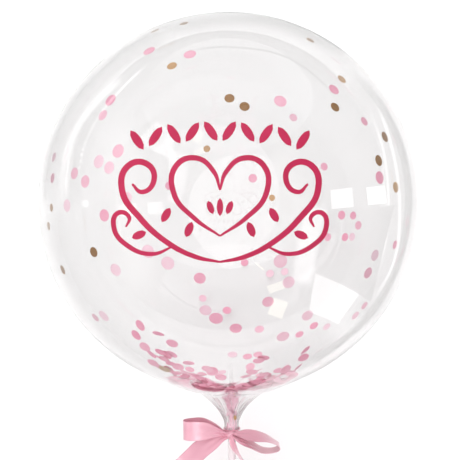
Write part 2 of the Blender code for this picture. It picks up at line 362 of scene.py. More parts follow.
class Graph:
    """A material's nodes, made and joined in a few words."""

    def __init__(self, name: str) -> None:
        """Make a material without nodes."""
        self.material = bpy.data.materials.new(name)
        self.material.use_nodes = True
        self.tree = self.material.node_tree
        self.tree.nodes.clear()

    def feed(self, socket: bpy.types.NodeSocket, value: object) -> None:
        """Give an input a plain value, another node's output or, of a node, the first output."""
        if isinstance(value, bpy.types.Node):
            value = value.outputs[0]
        if isinstance(value, bpy.types.NodeSocket):
            self.tree.links.new(value, socket)
        else:
            socket.default_value = value

    def node(self, kind: str, *feeds: object, **values: object) -> bpy.types.Node:
        """Add a node.

        Args:
            kind: The node's type, without its leading words.
            feeds: What its first inputs are fed with, in their order.
            values: Other inputs by name, with spaces written as underscores, and settings in
                small letters.

        Returns:
            The new node.
        """
        made = self.tree.nodes.new(f"ShaderNode{kind}")
        for name, value in values.items():
            socket = made.inputs.get(name.replace("_", " "))
            if socket is None:
                setattr(made, name, value)
            else:
                self.feed(socket, value)
        for socket, value in zip(made.inputs, feeds):
            self.feed(socket, value)
        return made

    def math(self, operation: str, *feeds: object) -> bpy.types.Node:
        """Add a node that works out one value from others."""
        return self.node("Math", *feeds, operation=operation)

    def mottled(
        self, group: bpy.types.NodeTree, place: object, scale: float, detail: float, between: Pair
    ) -> bpy.types.Node:
        """Place the shared unevenness, which wanders between two values."""
        return self.node("Group", place, scale, detail, *between, node_tree=group)

    def object_place(self) -> bpy.types.NodeSocket:
        """The place on the object, in metres."""
        return self.node("TexCoord").outputs["Object"]

    def between(self, share: object, light: Colour, deep: Colour) -> bpy.types.NodeSocket:
        """A colour that lies a share of the way from a light one to a deep one."""
        mixed = self.node("Mix", share, data_type="RGBA")
        mixed.inputs[6].default_value = (*light, 1)
        mixed.inputs[7].default_value = (*deep, 1)
        return mixed.outputs[2]

    def show(self, shader: bpy.types.Node) -> bpy.types.Material:
        """Send a shader to the material's output."""
        self.node("OutputMaterial", shader)
        return self.material

    def show_clear(self, glass: bpy.types.Node) -> bpy.types.Material:
        """Send a glass shader to the output, in a way that lets the lamps' light through."""
        path = self.node("LightPath")
        open_way = self.node("BsdfTransparent", Color=(1, 1, 1, 1))
        for ray in ("Is Diffuse Ray", "Is Shadow Ray"):
            glass = self.node("MixShader", path.outputs[ray], glass, open_way)
        return self.show(glass)


def mottle_group() -> bpy.types.NodeTree:
    """The shared unevenness: soft spots, as a mask between two values and as a height.

    Returns:
        A group with the inputs Vector, Scale, Detail, Low and High, and the outputs Value and
        Height.
    """
    tree = bpy.data.node_groups.new("soft_mottle", "ShaderNodeTree")
    tree.interface.new_socket("Vector", in_out="INPUT", socket_type="NodeSocketVector")
    values = {"INPUT": ("Scale", "Detail", "Low", "High"), "OUTPUT": ("Value", "Height")}
    for side, names in values.items():
        for name in names:
            tree.interface.new_socket(name, in_out=side, socket_type="NodeSocketFloat")
    start = tree.nodes.new("NodeGroupInput").outputs
    end = tree.nodes.new("NodeGroupOutput").inputs
    spots = tree.nodes.new("ShaderNodeTexNoise")
    span = tree.nodes.new("ShaderNodeMapRange")
    span.inputs["From Min"].default_value = 0.3
    span.inputs["From Max"].default_value = 0.7
    for output, target in (
        (start["Vector"], spots.inputs["Vector"]),
        (start["Scale"], spots.inputs["Scale"]),
        (start["Detail"], spots.inputs["Detail"]),
        (spots.outputs["Fac"], span.inputs["Value"]),
        (start["Low"], span.inputs["To Min"]),
        (start["High"], span.inputs["To Max"]),
        (span.outputs["Result"], end["Value"]),
        (spots.outputs["Fac"], end["Height"]),
    ):
        tree.links.new(output, target)
    return tree


@dataclass(frozen=True)
class ClearPlastic:
    """A clear plastic: the bubble's film or the tube's wall."""

    name: str
    tint: Colour
    roughness: float
    ior: float
    grain: tuple[float, float, float]
    ripple_scale: float
    ripple_depth: float
    clearness: float = 1.0

    def make(self, mottle: bpy.types.NodeTree) -> bpy.types.Material:
        """Build the material, with a ripple in its surface and a slight haze that varies."""
        graph = Graph(self.name)
        upright = (-PLAN.lying.to_euler().x, 0, 0)
        place = graph.node("Mapping", graph.object_place(), Rotation=upright, Scale=self.grain)
        haze = (self.roughness, self.roughness * 2)
        uneven = graph.mottled(mottle, place, self.ripple_scale, detail=2.0, between=haze)
        ripple = graph.node(
            "Bump", Strength=1.0, Distance=self.ripple_depth, Height=uneven.outputs["Height"]
        )
        glass = graph.node(
            "BsdfPrincipled",
            Base_Color=(*self.tint, 1),
            Metallic=0.0,
            Roughness=uneven,
            IOR=self.ior,
            Transmission_Weight=self.clearness,
            Normal=ripple,
        )
        return graph.show_clear(glass)


@dataclass(frozen=True)
class ConfettiFinish:
    """Cut tissue or foil, each disc of its own shade."""

    name: str
    light: Colour
    deep: Colour
    metallic: float
    roughness: float
    crumple: float

    def make(self, mottle: bpy.types.NodeTree) -> bpy.types.Material:
        """Build the material: the disc's own shade, a fine mottle and a crumpled surface."""
        graph = Graph(self.name)
        place = graph.object_place()
        matt = (self.roughness * 0.8, self.roughness)
        uneven = graph.mottled(mottle, place, scale=420.0, detail=4.0, between=matt)
        cloud = graph.mottled(mottle, place, scale=150.0, detail=2.0, between=(-0.08, 0.08))
        own = graph.node("Attribute", attribute_name="shade")
        shade = graph.math("ADD", own.outputs["Fac"], cloud)
        shade.use_clamp = True
        crumples = graph.node(
            "Bump", Strength=0.5, Distance=self.crumple, Height=uneven.outputs["Height"]
        )
        sheet = graph.node(
            "BsdfPrincipled",
            Base_Color=graph.between(shade, self.light, self.deep),
            Metallic=self.metallic,
            Roughness=uneven,
            Specular_IOR_Level=0.3,
            Normal=crumples,
        )
        return graph.show(sheet)


@dataclass(frozen=True)
class PrintInk:
    """Flat crimson ink on the film, a little uneven where it was laid."""

    name: str = "crimson_print"
    light: Colour = (0.50, 0.020, 0.082)
    deep: Colour = (0.44, 0.015, 0.066)
    roughness: float = 0.4

    def make(self, mottle: bpy.types.NodeTree) -> bpy.types.Material:
        """Build the material from a soft mottle between two crimsons."""
        graph = Graph(self.name)
        place = graph.object_place()
        dull = (self.roughness * 0.8, self.roughness * 1.2)
        cloud = graph.mottled(mottle, place, scale=60.0, detail=4.0, between=(0.0, 1.0))
        shine = graph.mottled(mottle, place, scale=300.0, detail=3.0, between=dull)
        ink = graph.node(
            "BsdfPrincipled",
            Base_Color=graph.between(cloud, self.light, self.deep),
            Roughness=shine,
            Specular_IOR_Level=0.35,
        )
        return graph.show(ink)


@dataclass(frozen=True)
class Satin:
    """Woven satin ribbon: a soft sheen, fine ribs across it and a firmer edge."""

    name: str = "pink_satin"
    light: Colour = (0.72, 0.37, 0.45)
    deep: Colour = (0.55, 0.21, 0.29)
    roughness: float = 0.31
    rib: float = 0.0004
    rib_depth: float = 0.000003
    width: float = 0.025
    edge: float = 0.0007

    def make(self, mottle: bpy.types.NodeTree) -> bpy.types.Material:
        """Build the material on the ribbon's own map, whose U runs along it in metres."""
        graph = Graph(self.name)
        own = graph.node("UVMap", uv_map="ribbon_map")
        parts = graph.node("SeparateXYZ", own)
        ribs = graph.math("SINE", graph.math("MULTIPLY", parts, 2 * math.pi / self.rib))
        middle = self.width / 2
        off = graph.math("ABSOLUTE", graph.math("SUBTRACT", parts.outputs["Y"], middle))
        selvedge = graph.node("MapRange", off, middle - self.edge, middle - self.edge / 2)
        place = graph.node("Mapping", own, Scale=(0.25, 1, 1))
        gloss = (self.roughness * 0.96, self.roughness * 1.06)
        cloud = graph.mottled(mottle, place, scale=60.0, detail=1.0, between=(0.0, 0.3))
        shine = graph.mottled(mottle, place, scale=200.0, detail=1.0, between=gloss)
        shade = graph.math("MAXIMUM", cloud, selvedge)
        cloth = graph.node(
            "BsdfPrincipled",
            Base_Color=graph.between(shade, self.light, self.deep),
            Roughness=shine,
            Specular_IOR_Level=1.0,
            Anisotropic=0.4,
            Sheen_Weight=0.3,
            Sheen_Roughness=0.4,
            Normal=graph.node("Bump", Strength=0.6, Distance=self.rib_depth, Height=ribs),
        )
        return graph.show(cloth)


# The film's grey tint is partly its own faint haze and partly painted shade that darkens it against
# the bright floor.
FILM = ClearPlastic("clear_film", (0.895, 0.89, 0.89), 0.0, 1.45, (1, 1, 1), 5.0, 0.0008)
# The tube's tint is partly its milky plastic and partly a painted pink reflection of the ribbon
# bow.
TUBE = ClearPlastic(
    "clear_tube", (0.86, 0.825, 0.835), 0.08, 1.3, (6, 6, 0.4), 60.0, 0.00002, clearness=0.5
)
TISSUE = ConfettiFinish(
    "pink_confetti", (0.86, 0.66, 0.735), (0.78, 0.27, 0.40), 0.0, 0.8, 0.0001
)
# The foil's two colours are painted reflection: discs at the light end stand for foil catching the
# light, at the deep end for foil that does not.
FOIL = ConfettiFinish(
    "gold_confetti", (0.62, 0.38, 0.19), (0.25, 0.115, 0.03), 0.2, 0.42, 0.00005
)


@dataclass
class FilmBubble:
    """The clear film: the round bubble, its funnel and its gathered neck, as one thin shell."""

    wall: float = 0.0003
    segments: int = 192
    rings: int = 110
    funnel_steps: int = 14
    neck_steps: int = 5
    folds: int = 17
    fold_depth: float = 0.0035
    neck_fold_depth: float = 0.0013
    flat_tolerance: float = 0.00001

    def outline(self) -> Iterator[tuple[float, float]]:
        """The radius and height of each ring below the mouth, down to the cut hem."""
        for step in range(1, self.funnel_steps + 1):
            share = step / self.funnel_steps
            flare = (PLAN.mouth_radius - PLAN.neck_radius) * (1 - share) ** PLAN.funnel_curve
            yield PLAN.neck_radius + flare, PLAN.mouth_z - share * PLAN.funnel_height
        groove_top = PLAN.tie_z + PLAN.band_height / 2
        groove_bottom = PLAN.tie_z - PLAN.band_height / 2
        yield PLAN.neck_radius, groove_top + PLAN.neck_shoulder + PLAN.neck_height / 2
        for step in range(self.neck_steps + 1):
            share = step / self.neck_steps
            radius = blend(PLAN.neck_radius, PLAN.tie_radius, smooth_step(share))
            yield radius, groove_top + PLAN.neck_shoulder * (1 - share)
        yield PLAN.tie_radius, PLAN.tie_z
        yield PLAN.tie_radius, groove_bottom
        yield PLAN.tie_radius + 2 * PLAN.fit_gap, PLAN.hem_z

    def sag(self, point: Vector) -> Vector:
        """Let the round part hang a little lower round its mouth."""
        radius = math.hypot(point.x, point.y)
        if point.z < 0:
            share = 1 + (PLAN.mouth_radius - radius) / PLAN.sag_reach
            point.z -= PLAN.mouth_sag * smooth_step(share)
        return point

    def fold(self, point: Vector) -> Vector:
        """Press the gathered film's folds into the funnel and neck, none at the mouth."""
        share = (PLAN.mouth_z - point.z) / PLAN.funnel_height
        radius = math.hypot(point.x, point.y)
        if share <= 0 or radius == 0:
            return point
        angle = math.atan2(point.y, point.x)
        wander = 0.5 * math.sin(2 * angle + 1.1) + 0.35 * math.sin(3 * angle - 4 * share)
        wave = 0.5 - 0.5 * math.cos(self.folds * angle + 2.2 * wander)
        finer = 0.5 - 0.5 * math.cos(2 * self.folds * angle + 5 * share + wander)
        swell = math.sin(math.pi * min(share, 1.0)) * self.fold_depth
        depth = self.neck_fold_depth * smooth_step(share) + swell
        room = radius - PLAN.stick_radius - PLAN.fit_gap - self.wall
        cut = min(depth * (0.75 * wave + 0.25 * finer), max(room, 0.0))
        point.xy *= (radius - cut) / radius
        return point

    def rest(self, point: Vector) -> Vector:
        """Flatten the film where it lies on the floor."""
        down = PLAN.lying.to_3x3().inverted() @ Vector((0, 0, -1))
        excess = point.dot(down) - PLAN.centre_height
        return point - down * excess if excess > -self.flat_tolerance else point

    def build(self, material: bpy.types.Material) -> None:
        """Model the shell: a ball cut open at its mouth, drawn down ring by ring and folded."""
        film = new_piece(
            "uv_sphere", segments=self.segments, ring_count=self.rings, radius=PLAN.balloon_radius
        )
        cut = {"plane_co": (0, 0, PLAN.cut_z), "plane_no": (0, 0, 1), "clear_inner": True}
        on_all(film, bpy.ops.mesh.bisect, **cut)
        reshape(film, self.sag)
        radius, height = PLAN.mouth_radius, PLAN.mouth_z
        with editing(film):
            pick(film, lambda point: point.z < PLAN.mouth_z + self.flat_tolerance)
            for next_radius, next_height in self.outline():
                down = (0, 0, next_height - height)
                narrower = (next_radius / radius, next_radius / radius, 1)
                bpy.ops.mesh.extrude_region_move(TRANSFORM_OT_translate={"value": down})
                bpy.ops.transform.resize(value=narrower, center_override=(0, 0, next_height))
                radius, height = next_radius, next_height
        reshape(film, self.fold)
        reshape(film, self.rest)
        face_outwards(film)
        finish_with(film, "SOLIDIFY", thickness=self.wall, offset=-1.0)
        lay_down(film, "film_bubble", "clear_film", material, "balloon")


@dataclass
class ClearTube:
    """The clear extruded tube that the neck is tied to, open at both ends."""

    sides: int = 64
    rim: float = 0.0002

    def build(self, material: bpy.types.Material) -> None:
        """Model the tube: an open cylinder given its wall and softened rims."""
        tube = new_piece(
            "cylinder",
            vertices=self.sides,
            radius=PLAN.stick_radius,
            depth=PLAN.stick_length,
            end_fill_type="NOTHING",
        )
        middle = Vector((0, 0, (PLAN.stick_top_z + PLAN.stick_end_z) / 2))
        reshape(tube, lambda point: point + middle)
        face_outwards(tube)
        finish_with(tube, "SOLIDIFY", thickness=PLAN.stick_wall, offset=-1.0)
        rims = {"width": self.rim, "segments": 2, "limit_method": "ANGLE"}
        finish_with(tube, "BEVEL", angle_limit=SMOOTH_ANGLE, **rims)
        lay_down(tube, "clear_tube", "clear_tube", material, "stick")


class Side(Enum):
    """Which wall of the bubble a disc clings to, as the photograph sees it."""

    FRONT = False
    BACK = True


@dataclass
class Confetti:
    """Round confetti sealed in the bubble: discs held to the film by static, and a heap."""

    radius: float = 0.0075
    thickness: float = 0.00012
    sides: int = 18
    gap: float = 0.0002
    seed: int = 5

    def __post_init__(self) -> None:
        """Start the random source and model the flat disc that the others are copied from."""
        self.draw = random.Random(self.seed)
        self.inner = PLAN.balloon_radius - FilmBubble.wall - self.gap
        self.disc = new_piece(
            "circle", vertices=self.sides, radius=self.radius, fill_type="TRIFAN"
        )
        finish_with(self.disc, "SOLIDIFY", thickness=self.thickness, offset=0.0)

    def copy(self, place: Callable[[Vector], Vector], shade: float) -> bpy.types.Object:
        """Copy the disc with its own mesh, moved by a formula and with its own shade."""
        twin = self.disc.copy()
        twin.data = self.disc.data.copy()
        bpy.context.scene.collection.objects.link(twin)
        reshape(twin, place)
        own = twin.data.attributes.new("shade", "FLOAT", "POINT")
        own.data.foreach_set("value", [shade] * len(twin.data.vertices))
        return twin

    def clinging(self, centre: Vector, size: float = 1.0) -> Callable[[Vector], Vector]:
        """The formula that lays a disc against the inside of the film at a point."""
        turn = centre.to_track_quat("Z", "Y").to_matrix()
        inner = self.inner - self.thickness / 2

        def place(point: Vector) -> Vector:
            flat = Vector((point.x * size, point.y * size, 0))
            return (turn @ flat + centre.normalized() * inner).normalized() * (inner + point.z)

        return place

    def lying_at(
        self, centre: Vector, normal: Vector, curl: float, size: float
    ) -> Callable[[Vector], Vector]:
        """The formula for a loose disc: its centre, the way it faces, its curl and its size."""
        turn = normal.to_track_quat("Z", "Y").to_matrix()

        def place(point: Vector) -> Vector:
            height = point.z + curl * (point.x / self.radius) ** 2
            return turn @ Vector((point.x * size, point.y * size, height)) + centre

        return place

    def lay_both(
        self,
        where: str,
        tissue: list[bpy.types.Object],
        foil: list[bpy.types.Object],
        finishes: Sequence[bpy.types.Material],
    ) -> None:
        """Join the discs of each colour and lay them down, without the one they are copies of."""
        bpy.data.objects.remove(self.disc)
        for colour, discs, finish in zip(("pink", "gold"), (tissue, foil), finishes):
            lay_down(joined(discs), f"{colour}_confetti_{where}", f"{colour}_confetti", finish)


PINK_FRONT: list[Pixel] = [
    (189.8, 54), (149, 50.5), (110.2, 99.9), (102.5, 115), (117.8, 150.8), (98.4, 161.4),
    (108.8, 167.5), (84.8, 181.4), (126.5, 197.8), (103.9, 215.4), (147.8, 251.6), (167.6, 263.3),
    (115.3, 270), (199.7, 278.4), (205.5, 310.6), (216, 318.6), (235.8, 328.6), (280.5, 100.9),
    (334.1, 89.2), (380, 177.5), (280.6, 261.3), (288.8, 282.5), (375.3, 255.4), (368.3, 273.1),
    (268.1, 302), (307.7, 315.8), (283.1, 336.8), (74, 173.3), (66.6, 205.6), (103.5, 316.2),
]
PINK_BACK: list[Pixel] = [
    (341.9, 215.1), (353.4, 215.6), (358.6, 225.4), (352.3, 236.9), (345.3, 237.2),
    (327.9, 237.2), (169.3, 185.5), (293.5, 117.3), (364.7, 121.1), (324.4, 166.5),
    (252.8, 178.2), (244.6, 262.7), (202.7, 298.5), (227, 310.6), (299.6, 334.7), (355.8, 315.8),
    (270.1, 273.7), (284.8, 271.8), (314.1, 326), (326.9, 327), (259.4, 329.5), (53.4, 157),
    (52, 178), (95, 317.9), (395.4, 244.9), (364.8, 305.9), (232.5, 354.9), (247.6, 356.9),
    (257.9, 354.9),
]
GOLD_FRONT: list[Pixel] = [
    (229.5, 98), (244.6, 106.2), (335.3, 106.9), (385.1, 136.7), (379.1, 160.4), (93.4, 252.2),
    (62.4, 269.9),
]
# Front foil discs drawn pale: a painted highlight where the foil catches the light.
GOLD_PAINTED_HIGHLIGHT: list[Pixel] = [(171.8, 65.5), (342.1, 78.9), (396.1, 187.2)]
GOLD_BACK: list[Pixel] = [
    (206.8, 148.6), (272.1, 197.8), (48, 226), (50.9, 207.7), (154.7, 30.2), (183.9, 22.9),
    (310.5, 39.7),
]


@dataclass
class FilmConfetti(Confetti):
    """The discs that cling to the film, at the places where the photograph shows them."""

    foil_share: float = 0.84
    pink_shades: Pair = (0.1, 0.8)
    gold_shades: Pair = (0.75, 1.0)
    # The pale front foil discs' range: painted highlight.
    painted_highlight_shades: Pair = (0.1, 0.3)
    # Back foil discs drawn paler: painted glare of the film layers in front of them.
    back_shades_painted_glare: Pair = (0.2, 0.5)

    def ring(
        self, places: list[Pixel], side: Side, shades: Pair, share: float = 1.0
    ) -> list[bpy.types.Object]:
        """One disc at each pixel, on one wall of the bubble, its shade within a range."""
        made = []
        for pixel in places:
            centre = VIEW.on_sphere(pixel, PLAN.balloon_radius, far=side.value)
            size = share * self.draw.uniform(0.84, 1.0)
            made.append(self.copy(self.clinging(centre, size), self.draw.uniform(*shades)))
        return made

    def build(self, *finishes: bpy.types.Material) -> None:
        """Model the pink and the gold discs on the film."""
        tissue = self.ring(PINK_FRONT, Side.FRONT, self.pink_shades)
        tissue += self.ring(PINK_BACK, Side.BACK, self.pink_shades)
        foil = self.ring(GOLD_FRONT, Side.FRONT, self.gold_shades, self.foil_share)
        # Pale front foil discs, with their painted highlight.
        foil += self.ring(GOLD_PAINTED_HIGHLIGHT, Side.FRONT, self.painted_highlight_shades, self.foil_share)
        # Back foil discs, paler by a painted film glare.
        foil += self.ring(GOLD_BACK, Side.BACK, self.back_shades_painted_glare, self.foil_share)
        self.lay_both("on_film", tissue, foil, finishes)


HEAP_EDGE: list[Pixel] = [
    (139.1, 327), (135.3, 336.4), (144.2, 348), (157.1, 336), (171.7, 344.2),
    (159.9, 353.4), (171.3, 355.7), (157, 360), (164, 360), (171, 365), (178, 368), (185, 374),
    (152, 364), (160, 368), (168, 371), (176, 375), (184, 379), (192, 382), (200, 379),
    (150.5, 356), (166, 356.5), (262, 385), (270, 381), (292, 374), (299, 370), (264, 377),
    (188.1, 364.7), (193.6, 376.4), (207.3, 369.8), (212, 374), (220.6, 378.9), (259, 362),
    (264, 360), (306.3, 352.2), (303.9, 358.6), (286.5, 371.5), (252, 373.3), (278.9, 377.1),
    (256.5, 382.4), (246, 378),
]


@dataclass
class NeckConfetti(Confetti):
    """The confetti gathered at the neck's end of the bubble and down in the funnel."""

    seed: int = 11
    size: float = 0.92
    lean: float = 0.16
    steeper: float = 0.1
    curl: float = 0.0006
    edge_curl: float = 0.0008
    count: int = 330
    mouth_edge: float = math.radians(9.5)
    spread: float = math.radians(10.5)
    crowding: float = 1.2
    half_turn: float = math.radians(55)
    deepest: float = 0.009
    funnel_count: int = 100
    funnel_wide: float = 0.012
    funnel_narrow: float = 0.003
    funnel_above: float = 0.002
    funnel_share: float = 0.72
    funnel_tilt: float = 0.4
    neck_count: int = 44
    neck_front: float = 0.0072
    neck_turn: float = 1.25
    neck_low: float = 0.003
    neck_high: float = 0.004
    neck_curl: float = -0.0009
    neck_size: float = 0.36
    gold_pixel: Pixel = (164.5, 369.5)
    gold_side: float = 0.0045
    gold_rise: float = 0.012
    gold_shade: float = 0.4
    edge_shades: Pair = (0.7, 1.0)
    heap_shades: Pair = (0.4, 1.0)
    # The funnel's and neck's discs take the light end of the range: painted light that offsets the
    # shade of the film's folded layers round them.
    funnel_shades_painted_light: Pair = (0.0, 0.3)
    neck_shades_painted_light: Pair = (0.0, 0.4)

    def leaning(
        self, way: Vector, lean: float, lift: float, curl: float, shades: Pair
    ) -> bpy.types.Object:
        """A disc that leans on the film.

        Args:
            way: The direction of its place from the bubble's centre.
            lean: How far it leans, as a standard deviation.
            lift: How far it lies above the film.
            curl: How far it curls at most.
            shades: The range of its shade.

        Returns:
            The disc.
        """
        normal = (way + Vector([self.draw.gauss(0, lean) for _ in range(3)])).normalized()
        reach = self.radius * math.sqrt(max(0.0, 1 - normal.dot(way) ** 2))
        centre = way * (self.inner - reach - lift - self.radius * 0.05)
        place = self.lying_at(centre, normal, self.draw.uniform(-self.curl, curl), self.size)
        return self.copy(place, self.draw.uniform(*shades))

    def loose(self, pixel: Pixel) -> bpy.types.Object:
        """One of the discs that the photograph shows one by one along the heap's upper edge."""
        way = VIEW.on_sphere(pixel, PLAN.balloon_radius).normalized()
        return self.leaning(way, self.lean, 0.0, self.edge_curl, self.edge_shades)

    def heaped(self) -> bpy.types.Object:
        """A disc round the mouth's front, where they lie thickest and least flat."""
        outer = self.draw.random() ** self.crowding
        polar = self.mouth_edge + self.spread * outer
        turn = self.draw.gauss(-math.pi / 2, self.half_turn)
        across = math.sin(polar)
        way = Vector((across * math.cos(turn), across * math.sin(turn), -math.cos(polar)))
        lift = self.deepest * (1 - outer) * self.draw.random()
        lean = self.lean + self.steeper * (1 - outer)
        return self.leaning(way, lean, lift, self.curl, self.heap_shades)

    def in_funnel(self, index: int) -> bpy.types.Object:
        """A disc that slid down the funnel, in a cone above the tube."""
        down = (index + self.draw.random()) / self.funnel_count
        height = PLAN.mouth_z + self.funnel_above - down * PLAN.funnel_height * self.funnel_share
        half = blend(self.funnel_wide, self.funnel_narrow, min(1.3 * down, 1.0))
        side, front = (self.draw.uniform(-half, half) for _ in range(2))
        tilts = [self.draw.gauss(0, self.funnel_tilt) for _ in range(2)]
        normal = Vector((tilts[0], -1, tilts[1])).normalized()
        centre = Vector((side, front * 0.7, height))
        place = self.lying_at(centre, normal, self.curl, blend(0.8, 0.5, down))
        # Lighter shade: painted light against the funnel's shade.
        return self.copy(place, self.draw.uniform(*self.funnel_shades_painted_light))

    def in_neck(self) -> bpy.types.Object:
        """A disc in the layer between the tube's end and the front of the gathered film."""
        turn = self.draw.uniform(-self.neck_turn, self.neck_turn)
        outward = Vector((math.sin(turn), -math.cos(turn), 0))
        centre = outward * self.neck_front
        bottom = PLAN.tie_z + PLAN.band_height / 2 + self.neck_low
        top = PLAN.stick_top_z + self.neck_high
        centre.z = blend(bottom, top, self.draw.random() ** 1.3)
        place = self.lying_at(centre, outward, self.neck_curl, self.neck_size)
        # Lighter shade: painted light against the neck's shade.
        return self.copy(place, self.draw.uniform(*self.neck_shades_painted_light))

    def build(self, *finishes: bpy.types.Material) -> None:
        """Model the heap and the funnel's discs, one of each in gold."""
        tissue = [self.loose(pixel) for pixel in HEAP_EDGE]
        tissue += [self.heaped() for _ in range(self.count)]
        tissue += [self.in_funnel(index) for index in range(self.funnel_count)]
        tissue += [self.in_neck() for _ in range(self.neck_count)]
        heaped = self.clinging(VIEW.on_sphere(self.gold_pixel, PLAN.balloon_radius))
        low = Vector((self.gold_side, -self.neck_front, PLAN.neck_top_z + self.gold_rise))
        sunk = self.lying_at(low, Vector((0.3, -1, 0.2)), 0.0, 0.4)
        foil = [self.copy(place, self.gold_shade) for place in (heaped, sunk)]
        self.lay_both("at_neck", tissue, foil, finishes)


@dataclass
class FilmPrint:
    """The crimson print on the bubble's front: a row of leaf strokes over a mirrored scroll.

    Every line is drawn in the photograph's pixels and wrapped round the front of the film.
    """

    middle: float = 220.0
    thickness: float = 0.00015
    gap: float = 0.00004
    stroke: float = 6.4
    row_count: int = 10
    row_start: float = 137.0
    row_end: float = 303.0
    row_height: float = 131.0
    row_sag: float = 9.0
    leaf_length: float = 23.0
    leaf_width: float = 8.6
    leaf_slant: float = math.radians(34)
    scroll: tuple[Pixel, ...] = (
        (0, 262), (24, 257), (52, 243), (80, 218), (98, 190), (92, 166),
        (73, 164), (66, 180), (78, 192), (88, 184),
    )
    inner_scroll: tuple[Pixel, ...] = (
        (0, 236), (26, 218), (46, 194), (44, 166), (24, 158), (6, 172), (0, 190),
    )
    side_curl: tuple[Pixel, ...] = (
        (46, 246), (68, 254), (92, 246), (106, 228), (102, 213), (91, 217), (94, 227),
    )
    middle_leaf: tuple[Pixel, Pixel] = ((0, 216), (0, 198))
    beside_middle: tuple[Pixel, Pixel] = ((7, 214), (12, 201))
    bough_leaves: tuple[tuple[Pixel, Pixel], ...] = (
        ((34, 237), (28, 222)), ((58, 222), (50, 208)), ((74, 232), (88, 238)),
    )
    small_leaf_width: float = 6.5
    bough_leaf_width: float = 8.0

    def line(self, points: Sequence[Pixel], width: float, taper: float) -> bpy.types.Object:
        """One stroke as a flattened tube with narrowing ends, still flat, in pixels.

        Args:
            points: The pixels that its middle line passes.
            width: Its greatest width.
            taper: Its width at the ends as a share of that.

        Returns:
            The stroke.
        """
        data = bpy.data.curves.new("stroke", "CURVE")
        data.dimensions = "3D"
        data.bevel_depth = width / 2
        data.bevel_resolution = 2
        data.resolution_u = 10
        data.use_fill_caps = True
        knots = data.splines.new("BEZIER").bezier_points
        last = len(points) - 1
        knots.add(last)
        for index, (knot, pixel) in enumerate(zip(knots, points)):
            knot.co = (*pixel, 0)
            knot.handle_left_type = knot.handle_right_type = "AUTO"
            knot.radius = blend(taper, 1.0, math.sin(math.pi * index / last) ** 0.5)
        piece = bpy.data.objects.new("stroke", data)
        bpy.context.scene.collection.objects.link(piece)
        select_only(piece)
        bpy.ops.object.convert(target="MESH")
        return bpy.context.view_layer.objects.active

    def leaf(self, foot: Pixel, tip: Pixel, width: float) -> bpy.types.Object:
        """A pointed leaf from its foot to its tip."""
        way = Vector(tip) - Vector(foot)
        points = [tuple(Vector(foot) + way * (step / 6)) for step in range(7)]
        return self.line(points, width, 0.06)

    def row(self) -> list[bpy.types.Object]:
        """The arched row of short leaf strokes, leaning in turn to one side and the other."""
        made = []
        for index in range(self.row_count):
            share = index / (self.row_count - 1)
            x = blend(self.row_start, self.row_end, share)
            y = self.row_height + self.row_sag * (2 * share - 1) ** 2
            lean = self.leaf_slant * (1 if index % 2 else -1)
            right = self.leaf_length / 2 * math.sin(lean)
            down = self.leaf_length / 2 * math.cos(lean)
            made.append(self.leaf((x - right, y + down), (x + right, y - down), self.leaf_width))
        return made

    def at(self, points: Sequence[Pixel], side: float) -> list[Pixel]:
        """Points given from the middle, on one side of it."""
        return [(self.middle + side * x, y) for x, y in points]

    def flourish(self) -> list[bpy.types.Object]:
        """The large scrollwork under the row."""
        made = [self.leaf(*self.at(self.middle_leaf, 1.0), self.small_leaf_width)]
        lines = ((self.scroll, 1.0), (self.inner_scroll, 0.9), (self.side_curl, 0.8))
        leaves = [(leaf, self.bough_leaf_width) for leaf in self.bough_leaves]
        leaves.append((self.beside_middle, self.small_leaf_width))
        for side in (1.0, -1.0):
            for points, share in lines:
                made.append(self.line(self.at(points, side), self.stroke * share, 0.35))
            for leaf, width in leaves:
                made.append(self.leaf(*self.at(leaf, side), width))
        return made

    def wrap(self, point: Vector) -> Vector:
        """Lay a point of the flat drawing on the front of the film."""
        middle = PLAN.balloon_radius + self.gap + self.thickness / 2
        raised = point.z / (self.stroke / 2) * self.thickness / 2
        return VIEW.on_sphere((point.x, point.y), middle + raised)

    def build(self, material: bpy.types.Material) -> None:
        """Model both parts of the print."""
        for name, strokes in (("printed_row", self.row()), ("printed_scroll", self.flourish())):
            drawing = joined(strokes)
            reshape(drawing, self.wrap)
            face_outwards(drawing)
            lay_down(drawing, name, "crimson_print", material)


@dataclass(frozen=True)
class Station:
    """One point of a ribbon's route, in the upright frame."""

    centre: Vector
    across: Vector
    width: float


